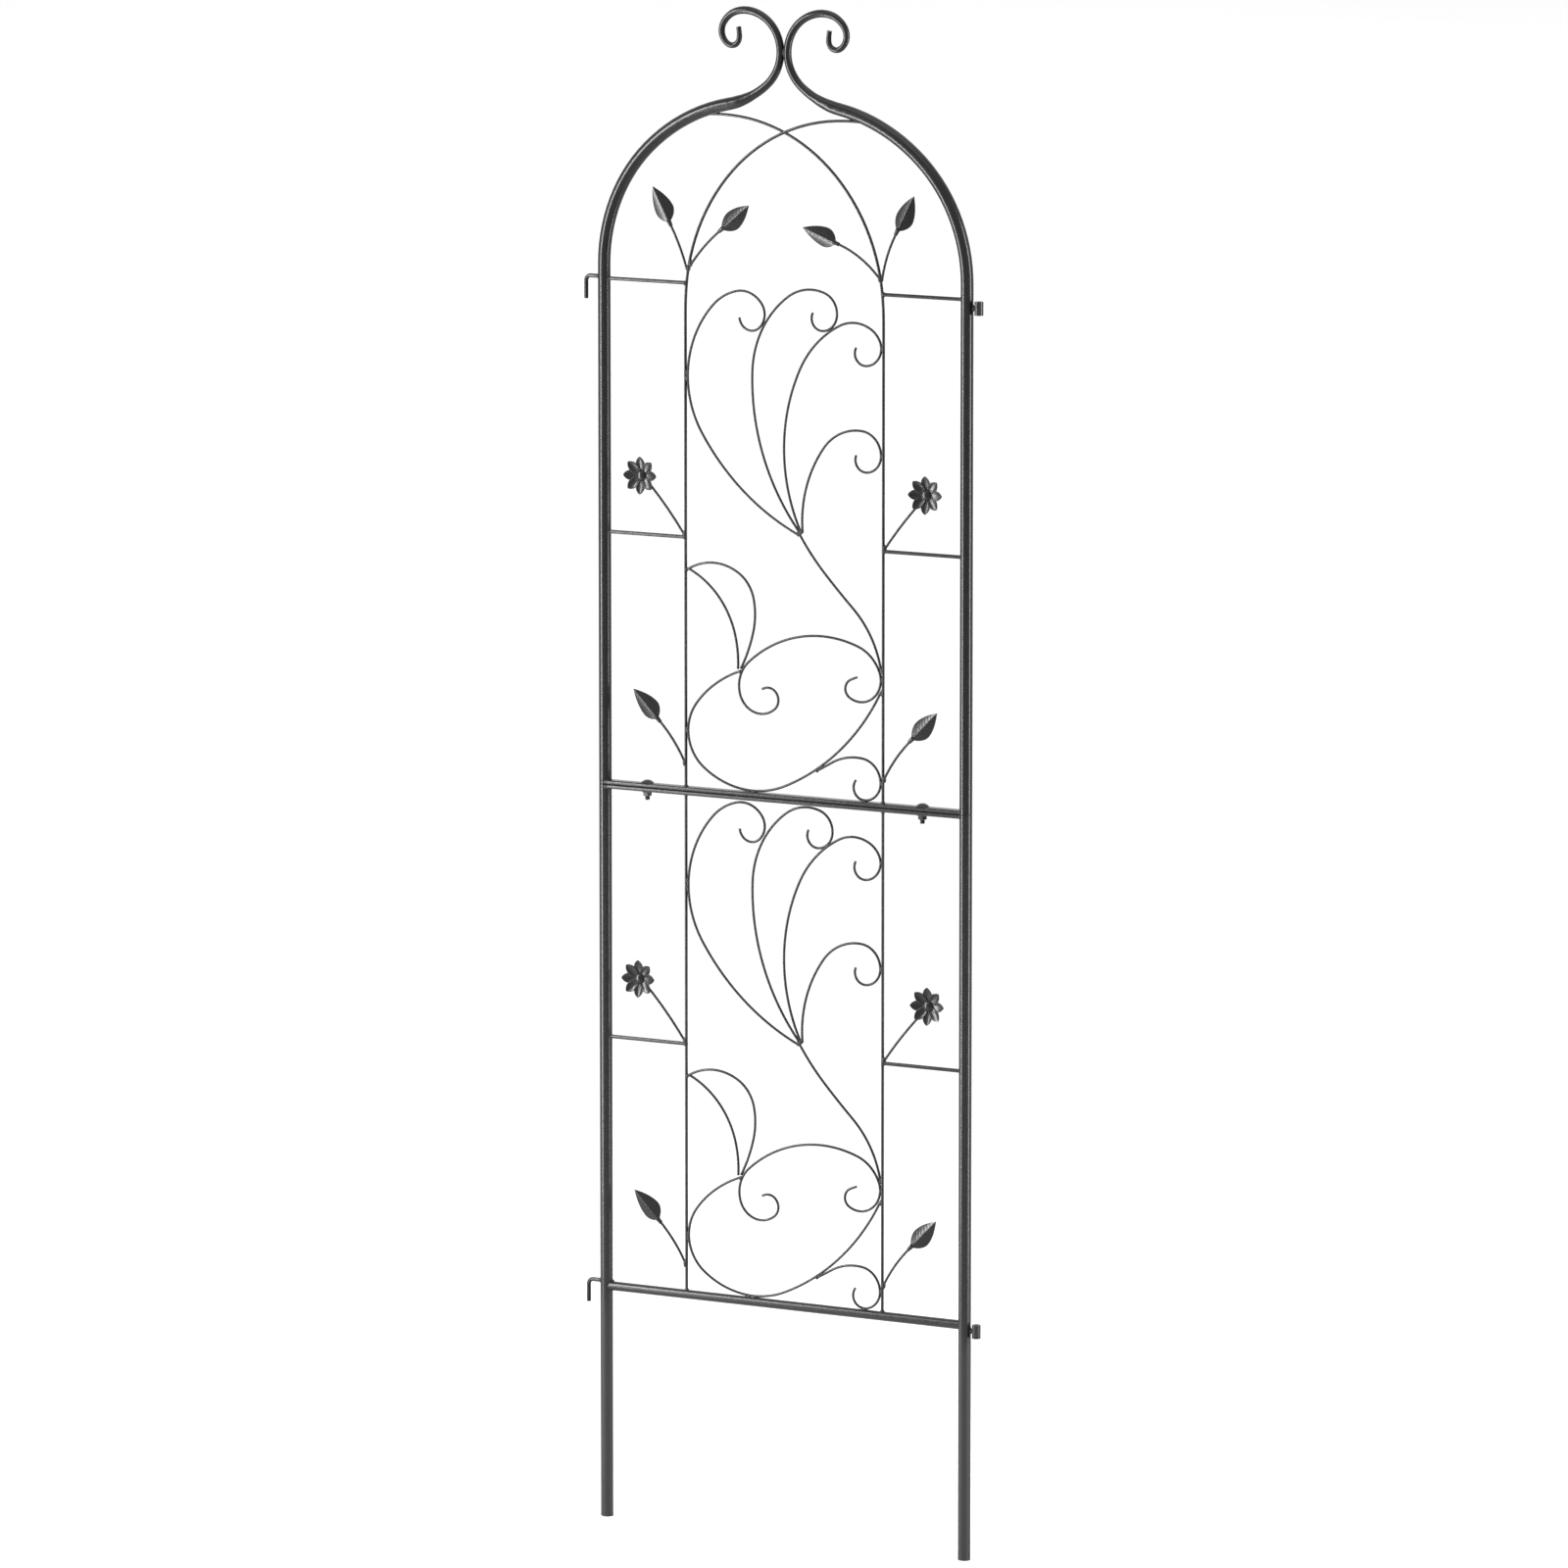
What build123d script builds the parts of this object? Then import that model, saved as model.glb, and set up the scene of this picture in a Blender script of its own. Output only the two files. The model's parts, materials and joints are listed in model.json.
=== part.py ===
"""Metal trellis arch: a flat two-section garden panel of tube and wire with scrolls, leaves and flowers.

Millimetres, +Z up. The panel stands in the XZ plane and its front faces -Y.
The origin is midway between the posts, level with the bottom of the stakes.
"""
import os
from math import asin, cos, degrees, radians, sin

from build123d import *

# ---------------------------------------------------------------- posts and arch
POST_X = 242.5                    # half the distance between the post axes
TUBE_R = 7.5
TUBE_WALL = 1.2
TUBE_BORE_R = TUBE_R - TUBE_WALL
TUBE_END_CHAMFER = 0.4            # shows as a fine groove where the two sections meet
JOINT_Z = 879.0                   # where the upper section stands on the lower one
ARCH_Z = 1493.0                   # the posts are straight up to here
ARCH_BENDS = [(190, -47), (220, -32)]
FINIAL_BENDS = [(115, 6), (115, 13), (110, 9), (54, 30), (47, 119), (31, 52), (18, 87), (10, 120), (40, 18)]
FINIAL_RADII = [7.5, 7.3, 5.4, 4.95, 4.7, 4.5, 3.9, 3.6, 3.2, 2.75]  # at the ends of those bends
SPIGOT_DEPTH = 45.0               # into each post
SPIGOT_CLEARANCE = 0.06           # radial, in the lower post
PLUG_RIM = 1.5
PLUG_DEPTH = 14.0
PLUG_CHAMFER = 1.2

# ---------------------------------------------------------------- bars and rungs
BAR_HIGH = 5.0                    # flattened tube
BAR_DEEP = 14.5
BAR_WALL = 1.1
UPPER_BAR_TOP = JOINT_Z + BAR_HIGH
LOWER_BAR_UNDER = JOINT_Z - BAR_HIGH
MOTIF_PITCH = 600.0               # the lower section repeats the upper scrolls this far down
BOTTOM_BAR_R = 5.5
BOTTOM_BAR_Z = UPPER_BAR_TOP - MOTIF_PITCH - BOTTOM_BAR_R
RUNG_R = 2.25
RUNG_UPPER_Z = 1178.0
RUNG_TOP_Z = 1476.0
RUNG_LOWER_Z = RUNG_UPPER_Z - MOTIF_PITCH

# ---------------------------------------------------------------- vine rods and scroll wire
VINE_X = 132.5
VINE_R = 1.75
VINE_STRAIGHT_TOP = 1440.0
VINE_BENDS = [(395, -4.5), (224, -40), (213, -42), (300, -6)]
VINE_LEAN = degrees(asin(VINE_R / VINE_X))   # lets the two arcs pass side by side at the middle
WIRE_R = 1.5

# ---------------------------------------------------------------- leaves and flowers
LEAF_LONG = 46.0
LEAF_HALF_WIDE = 11.5
LEAF_FOLD = 3.2                   # how far the leaf edges lie behind the midrib
SHEET = 1.2
COLLAR_R = 2.5
COLLAR_LONG = 6.0
PETALS = 8
PETAL_TIP_R = 22.5
PETAL_HALF_WIDE = 6.6
PETAL_CUP = 4.5                   # how far the petal tips stand forward
HUB_R = 6.3
HUB_HIGH = 3.6

# ---------------------------------------------------------------- screws, nuts, hooks and sleeves
SCREW_X = 185.0
SCREW_R = 3.0
SCREW_LONG = 20.0
SCREW_HEAD_R = 8.0
SCREW_HEAD_HIGH = 4.0
NECK_SIDE = 6.0
NECK_HIGH = 2.5
NECK_HOLE_SIDE = 6.6
HOLE_R = 3.3
NUT_FLATS = 10.0
NUT_HIGH = 5.0
NUT_FLANGE_R = 6.3
NUT_FLANGE_HIGH = 1.2
THREAD_CLEARANCE = 0.05

SLEEVE_X = 258.0
SLEEVE_R = 5.2
SLEEVE_BORE_R = 3.0
SLEEVE_HIGH = 16.0
SLEEVE_TOPS = {"upper": 1474.5, "lower": 280.5}
HOOK_R = 2.5
HOOK_X = 267.0
HOOK_BEND = 6.0
HOOK_ARM_RISE = 3.5               # hook arm axis above the sleeve top it hangs over
HOOK_PIN_DROP = 27.0              # pin end below the arm axis

FRONT = Plane.XZ                  # local x is X, local y is Z, local z points to the front


# ======================================== helpers
def bent(start, heading, bends):
    """Begin, middle and end of each (radius, turn) bend, with the last point and heading."""
    x, y = start
    arcs = []
    for radius, turn in bends:
        side = heading + (90 if turn > 0 else -90)
        centre_x = x + radius * cos(radians(side))
        centre_y = y + radius * sin(radians(side))
        arc = []
        for share in (0, 0.5, 1):
            spoke = radians(side + 180 + turn * share)
            arc.append((centre_x + radius * cos(spoke), centre_y + radius * sin(spoke)))
        arcs.append(arc)
        x, y = arc[-1]
        heading += turn
    return arcs, (x, y), heading


def mirrored(bends, hand):
    """The same bends for the left (hand 1) or the right (hand -1) side."""
    return [(radius, turn * hand) for radius, turn in bends]


def sweep_round(path, radius, bore=0.0, mode=Mode.ADD):
    """Sweep a round section, hollow when a bore is given, along a path inside a BuildPart."""
    wire = path.wires()[0]
    with BuildSketch(Plane(wire @ 0, z_dir=wire % 0)) as section:
        Circle(radius)
        if bore:
            Circle(bore, mode=Mode.SUBTRACT)
    sweep(section.sketch, path=wire, mode=mode)


def upright(x, radius, bottom, top, mode=Mode.ADD):
    """A round solid standing at x from bottom to top."""
    with BuildSketch(Plane((x, 0, bottom))) as section:
        Circle(radius)
    extrude(section.sketch, amount=top - bottom, mode=mode)


def lying(radius, left, right, height, mode=Mode.ADD):
    """A round solid lying along X from left to right."""
    with BuildSketch(Plane((left, 0, height), z_dir=(1, 0, 0))) as section:
        Circle(radius)
    extrude(section.sketch, amount=right - left, mode=mode)


def bent_wire(start, heading, bends, cut_by=(), radius=WIRE_R):
    """A round wire of tangent bends in the middle plane, its ends shaped to the pieces it meets."""
    arcs, _, _ = bent(start, heading, bends)
    with BuildPart() as wire:
        with BuildLine(FRONT) as path:
            for arc in arcs:
                ThreePointArc(*arc)
        sweep_round(path, radius)
        for other in cut_by:
            add(other.part, mode=Mode.SUBTRACT)
    return wire


def save(name, shape):
    """Label a sub-part and write it to its own file."""
    shape.part.label = name
    export_step(shape.part, f"parts/{name}.step")


os.makedirs("parts", exist_ok=True)
SIDES = {"left": -1, "right": 1}

# ======================================== lower posts
for side, sign in SIDES.items():
    with BuildPart() as lower_post:
        upright(sign * POST_X, TUBE_R, PLUG_RIM, JOINT_Z)
        chamfer(lower_post.edges().group_by(Axis.Z)[-1], length=TUBE_END_CHAMFER)
        upright(sign * POST_X, TUBE_BORE_R, PLUG_RIM, JOINT_Z, Mode.SUBTRACT)
    save(f"lower_{side}_post", lower_post)

# ======================================== stake plugs
with BuildPart() as stake_plugs:
    for sign in SIDES.values():
        upright(sign * POST_X, TUBE_R, 0, PLUG_RIM)
    chamfer(stake_plugs.edges().group_by(Axis.Z)[0], length=PLUG_CHAMFER)
    for sign in SIDES.values():
        upright(sign * POST_X, TUBE_BORE_R, PLUG_RIM, PLUG_RIM + PLUG_DEPTH)
save("stake_plugs", stake_plugs)

# ======================================== spigots
with BuildPart() as spigots:
    slim_r = TUBE_BORE_R - SPIGOT_CLEARANCE
    for sign in SIDES.values():
        upright(sign * POST_X, slim_r, JOINT_Z - SPIGOT_DEPTH, JOINT_Z)
    chamfer(spigots.edges().group_by(Axis.Z)[0], length=0.8)
    for sign in SIDES.values():
        upright(sign * POST_X, TUBE_BORE_R, JOINT_Z, JOINT_Z + SPIGOT_DEPTH)
        upright(sign * POST_X, slim_r - TUBE_WALL, JOINT_Z - SPIGOT_DEPTH,
                JOINT_Z + SPIGOT_DEPTH, Mode.SUBTRACT)
save("spigots", spigots)

# ======================================== upper posts with their half of the arch
for side, sign in SIDES.items():
    arcs, _, _ = bent((sign * POST_X, ARCH_Z), 90, mirrored(ARCH_BENDS, -sign))
    with BuildPart() as upper_post:
        with BuildLine(FRONT) as post_path:
            Line((sign * POST_X, JOINT_Z), (sign * POST_X, ARCH_Z))
            for arc in arcs:
                ThreePointArc(*arc)
        sweep_round(post_path, TUBE_R, TUBE_BORE_R)
        outer_rim = upper_post.edges().group_by(Axis.Z)[0].sort_by(SortBy.LENGTH)[-1]
        chamfer(outer_rim, length=TUBE_END_CHAMFER)
    save(f"upper_{side}_post", upper_post)

# ======================================== finials: the arch ends, drawn down and curled
for side, sign in SIDES.items():
    _, arch_end, arch_heading = bent((sign * POST_X, ARCH_Z), 90, mirrored(ARCH_BENDS, -sign))
    arcs, _, _ = bent(arch_end, arch_heading, mirrored(FINIAL_BENDS, -sign))
    with BuildPart() as finial:
        with BuildLine(FRONT) as curl:
            for arc in arcs:
                ThreePointArc(*arc)
        curl_wire = curl.wires()[0]
        curl_long = curl_wire.length
        run = 0.0
        for index, (radius, turn) in enumerate(FINIAL_BENDS):
            bend_long = radius * radians(turn)
            for share in (0, 0.34, 0.67):
                here = (run + bend_long * share) / curl_long
                girth = FINIAL_RADII[index] * (1 - share) + FINIAL_RADII[index + 1] * share
                with BuildSketch(Plane(curl_wire @ here, z_dir=curl_wire % here, x_dir=(0, 1, 0))):
                    Circle(girth)
            run += bend_long
        with BuildSketch(Plane(curl_wire @ 1, z_dir=curl_wire % 1, x_dir=(0, 1, 0))):
            Circle(FINIAL_RADII[-1])
        loft()
    save(f"{side}_finial", finial)

# ======================================== flattened tube bars on each side of the joint
scroll_rests = {}
for name, bottom in (("upper_mid_bar", JOINT_Z), ("lower_mid_bar", LOWER_BAR_UNDER)):
    middle = bottom + BAR_HIGH / 2
    with BuildPart() as mid_bar:
        with BuildSketch(Plane((-POST_X, 0, middle), z_dir=(1, 0, 0), x_dir=(0, 1, 0))):
            SlotOverall(BAR_DEEP, BAR_HIGH)
            SlotOverall(BAR_DEEP - 2 * BAR_WALL, BAR_HIGH - 2 * BAR_WALL, mode=Mode.SUBTRACT)
        extrude(amount=2 * POST_X)
        for sign in SIDES.values():
            upright(sign * POST_X, TUBE_R, bottom, bottom + BAR_HIGH, Mode.SUBTRACT)
            upright(sign * SCREW_X, HOLE_R, bottom, bottom + BAR_HIGH, Mode.SUBTRACT)
        if bottom == JOINT_Z:
            with BuildSketch(Plane((0, 0, middle))):
                with Locations((-SCREW_X, 0), (SCREW_X, 0)):
                    Rectangle(NECK_HOLE_SIDE, NECK_HOLE_SIDE)
            extrude(amount=BAR_HIGH / 2, mode=Mode.SUBTRACT)
            scroll_rests["upper"] = mid_bar
    save(name, mid_bar)

# ======================================== round tube bar at the foot of the scrolls
with BuildPart() as bottom_bar:
    lying(BOTTOM_BAR_R, -POST_X, POST_X, BOTTOM_BAR_Z)
    lying(BOTTOM_BAR_R - TUBE_WALL, -POST_X, POST_X, BOTTOM_BAR_Z, Mode.SUBTRACT)
    for sign in SIDES.values():
        upright(sign * POST_X, TUBE_R, BOTTOM_BAR_Z - TUBE_R, BOTTOM_BAR_Z + TUBE_R, Mode.SUBTRACT)
scroll_rests["lower"] = bottom_bar
save("bottom_bar", bottom_bar)

# ======================================== vine rods of the upper section
upper_vines = {}
for side, sign in SIDES.items():
    arcs, _, _ = bent((0, VINE_STRAIGHT_TOP), 90, VINE_BENDS)
    far_arcs, _, _ = bent((-sign * POST_X, ARCH_Z), 90, mirrored(ARCH_BENDS, sign))
    inward_x = -sign * cos(radians(VINE_LEAN))
    inward_y = sign * sin(radians(VINE_LEAN))
    vine_plane = Plane((sign * VINE_X, 0, 0), x_dir=(inward_x, inward_y, 0), z_dir=(inward_y, -inward_x, 0))
    with BuildPart() as upper_vine:
        with BuildLine(vine_plane) as vine_path:
            Line((0, UPPER_BAR_TOP), (0, VINE_STRAIGHT_TOP))
            for arc in arcs:
                ThreePointArc(*arc)
        sweep_round(vine_path, VINE_R)
        with BuildLine(FRONT) as far_arch:
            for arc in far_arcs:
                ThreePointArc(*arc)
        sweep_round(far_arch, TUBE_R, mode=Mode.SUBTRACT)
    upper_vines[side] = upper_vine
    save(f"upper_{side}_vine", upper_vine)

# ======================================== vine rods of the lower section
lower_vines = {}
for side, sign in SIDES.items():
    with BuildPart() as lower_vine:
        upright(sign * VINE_X, VINE_R, BOTTOM_BAR_Z, LOWER_BAR_UNDER)
        lying(BOTTOM_BAR_R, -POST_X, POST_X, BOTTOM_BAR_Z, Mode.SUBTRACT)
    lower_vines[side] = lower_vine
    save(f"lower_{side}_vine", lower_vine)

# ======================================== rungs between the posts and the vine rods
for section, heights in (("upper", (RUNG_UPPER_Z, RUNG_TOP_Z)), ("lower", (RUNG_LOWER_Z,))):
    vines = upper_vines if section == "upper" else lower_vines
    with BuildPart() as rungs:
        for height in heights:
            lying(RUNG_R, -POST_X, -VINE_X, height)
            lying(RUNG_R, VINE_X, POST_X, height)
        for sign in SIDES.values():
            upright(sign * POST_X, TUBE_R, RUNG_LOWER_Z - TUBE_R, RUNG_TOP_Z + TUBE_R, Mode.SUBTRACT)
        for vine in vines.values():
            add(vine.part, mode=Mode.SUBTRACT)
    save(f"{section}_rungs", rungs)

# ======================================== scrolls: the same motif in each section
for section, drop in (("upper", 0.0), ("lower", MOTIF_PITCH)):
    vines = upper_vines if section == "upper" else lower_vines
    left_vine = vines["left"]
    right_vine = vines["right"]
    rest = scroll_rests[section]

    # a long S with a curl at each end
    body_scroll = bent_wire((-29.2, 1006 - drop), 33,
                            [(14, -173), (29, -115), (38, -63), (145, -62), (49, -48), (27, -145),
                             (12, -123), (130, -4)],
                            cut_by=[right_vine])
    save(f"{section}_body_scroll", body_scroll)

    # the four plumes fan out of the top of this stem
    plume_stem = bent_wire((18.6, 1194.4 - drop), -58.2, [(310, 11.2), (1000, 3), (130, -37)],
                           cut_by=[right_vine, body_scroll])
    save(f"{section}_plume_stem", plume_stem)

    plume_1 = bent_wire((19.9, 1189.8 - drop), 156.4,
                        [(293, -34), (123, -76), (62.5, -33), (33.2, -68), (21, -85), (16, -126)],
                        cut_by=[plume_stem, left_vine])
    save(f"{section}_plume_1", plume_1)

    crown = (115, 53) if section == "upper" else (109, 49.7)  # the lower plume clears the mid bar
    plume_2 = bent_wire((21.3, 1192.5 - drop), 130,
                        [(273, -42), (crown[0], -52), (crown[1], -56), (25, -76), (20, -82), (14, -120)],
                        cut_by=[plume_stem, plume_1])
    save(f"{section}_plume_2", plume_2)

    plume_3 = bent_wire((23, 1192.4 - drop), 116.6,
                        [(217, -52), (116, -38), (43.2, -58), (30.4, -33), (21, -115), (14, -119)],
                        cut_by=[plume_stem, plume_2, right_vine])
    save(f"{section}_plume_3", plume_3)

    plume_4 = bent_wire((25, 1193 - drop), 95.3,
                        [(146, -42), (56.3, -59), (28, -84), (20, -90), (14, -113)],
                        cut_by=[plume_stem, plume_3, right_vine])
    save(f"{section}_plume_4", plume_4)

    # one round sweep from the body scroll past the left rod, over the bar and up to the right rod
    belly_wire = bent_wire((-58.6, 1025.3 - drop), -160.7,
                           [(137, 20.5), (108, 14), (53.3, 88.5), (110, 61), (258, 39.5)],
                           cut_by=[body_scroll, left_vine, right_vine, rest])
    save(f"{section}_belly_wire", belly_wire)

    small_scroll = bent_wire((43.4, 915 - drop), 27,
                             [(440, 3), (65, -38), (28, -81), (21, -99), (14, -120)],
                             cut_by=[belly_wire, right_vine, rest])
    save(f"{section}_small_scroll", small_scroll)

    # two wires that close into a single leaf shape
    loop_outer = bent_wire((-131.3, 1139.4 - drop), 33.4,
                           [(65, -64.4), (46, -48), (90, -24), (175, -15.6)],
                           cut_by=[left_vine, body_scroll, belly_wire])
    save(f"{section}_loop_outer", loop_outer)

    loop_inner = bent_wire((-128, 1140.9 - drop), -23.8, [(110, -53.2), (135, -16)],
                           cut_by=[left_vine, loop_outer, belly_wire])
    save(f"{section}_loop_inner", loop_inner)


# ======================================== leaves on their wire stems
def leaf(base, heading):
    """A folded sheet leaf with a collar, its midrib running out of the stem end at heading."""
    along = (cos(radians(heading)), 0, sin(radians(heading)))
    plate = Plane((base[0], 0, base[1]), x_dir=along, z_dir=(0, -1, 0))
    across = Plane(plate.origin, x_dir=plate.y_dir, z_dir=along)
    reach = LEAF_HALF_WIDE + 1
    with BuildPart() as blade:
        with BuildSketch(plate):
            with BuildLine():
                edge = Spline((0, 0), (4, 7), (15, LEAF_HALF_WIDE), (LEAF_LONG, 0),
                              tangents=[(0.1, 1), (1, -0.75)])
                mirror(edge, about=Plane.XZ)
            make_face()
        extrude(amount=3 * LEAF_FOLD, both=True)
        with BuildSketch(across):
            with BuildLine():
                Polyline((-reach, -LEAF_FOLD - SHEET), (0, -SHEET / 2), (reach, -LEAF_FOLD - SHEET),
                         (reach, -LEAF_FOLD), (0, SHEET / 2), (-reach, -LEAF_FOLD), close=True)
            make_face()
        extrude(amount=LEAF_LONG, mode=Mode.INTERSECT)
        with BuildSketch(across.offset(-COLLAR_LONG)):
            Circle(COLLAR_R)
        extrude(amount=COLLAR_LONG + SHEET)
    return blade


LEAF_STEMS = {
    "upper_left_outer": ((-130.2, 1491), 107, [(260, 12)]),
    "upper_left_inner": ((-129.5, 1491), 57, [(200, -18)]),
    "upper_right_inner": ((129.5, 1491), 129, [(128, 31)]),
    "upper_right_outer": ((130.2, 1491), 82, [(165, -20)]),
    "upper_left_low": ((-VINE_X, 909), 116, [(180, 19)]),
    "upper_right_low": ((VINE_X, 909), 64, [(180, -19)]),
    "lower_left_low": ((-VINE_X, 312), 116, [(180, 19)]),
    "lower_right_low": ((VINE_X, 312), 64, [(180, -19)]),
}
stem_wires = {"upper": [], "lower": []}
for name, (start, heading, bends) in LEAF_STEMS.items():
    section, side, _ = name.split("_")
    vine = (upper_vines if section == "upper" else lower_vines)[side]
    stem_wires[section].append(bent_wire(start, heading, bends, cut_by=[vine]))
    _, (end_x, end_z), end_heading = bent(start, heading, bends)
    collar_x = COLLAR_LONG * cos(radians(end_heading))
    collar_z = COLLAR_LONG * sin(radians(end_heading))
    save(f"{name}_leaf", leaf((end_x + collar_x, end_z + collar_z), end_heading))


# ======================================== flowers on their wire stems
def flower(centre):
    """Eight petals cut from one dished sheet, with a domed hub, facing the front."""
    face = Plane((centre[0], -WIRE_R, centre[1]), x_dir=(1, 0, 0), z_dir=(0, -1, 0))
    dish_r = (PETAL_TIP_R ** 2 + PETAL_CUP ** 2) / (2 * PETAL_CUP)
    dish_middle = (centre[0], -WIRE_R - dish_r, centre[1])
    dome_r = (HUB_R ** 2 + HUB_HIGH ** 2) / (2 * HUB_HIGH)
    with BuildPart() as hub:
        with BuildSketch(face.offset(SHEET / 2)):
            Circle(HUB_R)
        extrude(amount=SHEET / 2 + HUB_HIGH)
        with Locations((centre[0], dome_r - WIRE_R - SHEET - HUB_HIGH, centre[1])):
            Sphere(dome_r, mode=Mode.INTERSECT)
    with BuildPart() as bloom:
        with BuildSketch(face) as petals:
            Circle(HUB_R)
            for index in range(PETALS):
                with BuildLine(Rot(0, 0, index * 360 / PETALS)):
                    ThreePointArc((HUB_R / 2, 2), (PETAL_TIP_R * 0.55, PETAL_HALF_WIDE), (PETAL_TIP_R, 0))
                    ThreePointArc((PETAL_TIP_R, 0), (PETAL_TIP_R * 0.55, -PETAL_HALF_WIDE), (HUB_R / 2, -2))
                    Line((HUB_R / 2, -2), (HUB_R / 2, 2))
                make_face()
        extrude(petals.sketch, amount=PETAL_CUP + 2 * SHEET)
        with Locations(dish_middle):
            Sphere(dish_r, mode=Mode.INTERSECT)
            Sphere(dish_r - SHEET, mode=Mode.SUBTRACT)
        add(hub.part)
    return bloom


FLOWER_STEMS = {"upper": (RUNG_UPPER_Z, [(500, 10.4)]), "lower": (RUNG_LOWER_Z, [(500, 11)])}
for section, (foot, bends) in FLOWER_STEMS.items():
    vines = upper_vines if section == "upper" else lower_vines
    for side, sign in SIDES.items():
        start = (sign * VINE_X, foot)
        heading = 90 - sign * 35
        turns = mirrored(bends, -sign)
        stem_wires[section].append(bent_wire(start, heading, turns, cut_by=[vines[side]]))
        _, centre, _ = bent(start, heading, turns)
        save(f"{section}_{side}_flower", flower(centre))
    with BuildPart() as stems:
        for wire in stem_wires[section]:
            add(wire.part)
        lying(RUNG_R, -POST_X, POST_X, foot, Mode.SUBTRACT)
    save(f"{section}_stems", stems)

# ======================================== screws and nuts that clamp the two bars
for side, sign in SIDES.items():
    top = UPPER_BAR_TOP
    dome_r = (SCREW_HEAD_R ** 2 + SCREW_HEAD_HIGH ** 2) / (2 * SCREW_HEAD_HIGH)
    with BuildPart() as screw:
        upright(sign * SCREW_X, SCREW_HEAD_R, top, top + SCREW_HEAD_HIGH)
        with Locations((sign * SCREW_X, 0, top + SCREW_HEAD_HIGH - dome_r)):
            Sphere(dome_r, mode=Mode.INTERSECT)
        with BuildSketch(Plane((sign * SCREW_X, 0, top))):
            Rectangle(NECK_SIDE, NECK_SIDE)
        extrude(amount=-NECK_HIGH)
        upright(sign * SCREW_X, SCREW_R, top - SCREW_LONG, top)
        chamfer(screw.edges().group_by(Axis.Z)[0], length=0.6)
    save(f"{side}_screw", screw)

    nut_top = LOWER_BAR_UNDER
    with BuildPart() as nut:
        with BuildSketch(Plane((sign * SCREW_X, 0, nut_top - NUT_HIGH))):
            RegularPolygon(NUT_FLATS / 2, 6, major_radius=False)
        extrude(amount=NUT_HIGH)
        chamfer(nut.edges().group_by(Axis.Z)[0], length=0.7)
        with BuildSketch(Plane((sign * SCREW_X, 0, nut_top))):
            Circle(NUT_FLANGE_R)
        extrude(amount=-NUT_FLANGE_HIGH, taper=25)
        upright(sign * SCREW_X, SCREW_R + THREAD_CLEARANCE, nut_top - NUT_HIGH, nut_top, Mode.SUBTRACT)
    save(f"{side}_nut", nut)

# ======================================== hinge hooks and the sleeves they drop into
for section, sleeve_top in SLEEVE_TOPS.items():
    arm_z = sleeve_top + HOOK_ARM_RISE
    with BuildPart() as hook:
        with BuildLine(FRONT) as hook_path:
            Line((-POST_X, arm_z), (HOOK_BEND - HOOK_X, arm_z))
            TangentArc((HOOK_BEND - HOOK_X, arm_z), (-HOOK_X, arm_z - HOOK_BEND), tangent=(-1, 0))
            Line((-HOOK_X, arm_z - HOOK_BEND), (-HOOK_X, arm_z - HOOK_PIN_DROP))
        sweep_round(hook_path, HOOK_R)
        chamfer(hook.edges().group_by(Axis.Z)[0], length=0.5)
        upright(-POST_X, TUBE_R, arm_z - TUBE_R, arm_z + TUBE_R, Mode.SUBTRACT)
    save(f"{section}_hook", hook)

    with BuildPart() as sleeve:
        lying(HOOK_R, POST_X, SLEEVE_X, sleeve_top - SLEEVE_HIGH / 2)
        upright(SLEEVE_X, SLEEVE_R, sleeve_top - SLEEVE_HIGH, sleeve_top)
        upright(SLEEVE_X, SLEEVE_BORE_R, sleeve_top - SLEEVE_HIGH, sleeve_top, Mode.SUBTRACT)
        upright(POST_X, TUBE_R, sleeve_top - SLEEVE_HIGH, sleeve_top, Mode.SUBTRACT)
    save(f"{section}_sleeve", sleeve)
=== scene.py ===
"""Looks of the metal trellis arch: coated steel, pressed leaves and flowers, screws and welds."""

import json
import math
import random

import bmesh
import bpy
from mathutils import Matrix, Vector, noise
from mathutils.bvhtree import BVHTree


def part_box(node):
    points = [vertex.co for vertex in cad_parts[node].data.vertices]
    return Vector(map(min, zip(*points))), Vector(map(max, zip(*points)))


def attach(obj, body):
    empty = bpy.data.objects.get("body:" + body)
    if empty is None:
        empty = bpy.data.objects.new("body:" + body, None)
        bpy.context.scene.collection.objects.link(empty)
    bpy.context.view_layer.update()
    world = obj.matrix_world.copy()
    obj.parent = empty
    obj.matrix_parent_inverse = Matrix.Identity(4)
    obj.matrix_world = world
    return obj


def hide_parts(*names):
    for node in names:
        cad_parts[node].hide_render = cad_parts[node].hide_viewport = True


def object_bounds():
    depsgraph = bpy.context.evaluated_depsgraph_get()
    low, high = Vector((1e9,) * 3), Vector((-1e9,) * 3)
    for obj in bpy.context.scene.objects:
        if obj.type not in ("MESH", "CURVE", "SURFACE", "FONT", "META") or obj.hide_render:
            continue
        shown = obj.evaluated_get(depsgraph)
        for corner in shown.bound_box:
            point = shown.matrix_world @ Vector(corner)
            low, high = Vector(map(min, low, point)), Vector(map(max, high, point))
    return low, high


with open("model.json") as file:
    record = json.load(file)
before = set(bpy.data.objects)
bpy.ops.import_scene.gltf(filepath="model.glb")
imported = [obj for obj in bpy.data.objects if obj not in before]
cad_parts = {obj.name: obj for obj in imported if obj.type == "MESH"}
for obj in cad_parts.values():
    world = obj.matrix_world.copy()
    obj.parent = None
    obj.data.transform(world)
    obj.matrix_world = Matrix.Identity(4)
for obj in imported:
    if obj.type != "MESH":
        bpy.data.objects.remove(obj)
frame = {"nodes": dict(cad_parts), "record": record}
cad_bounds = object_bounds()
nodes = frame["nodes"]
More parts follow.
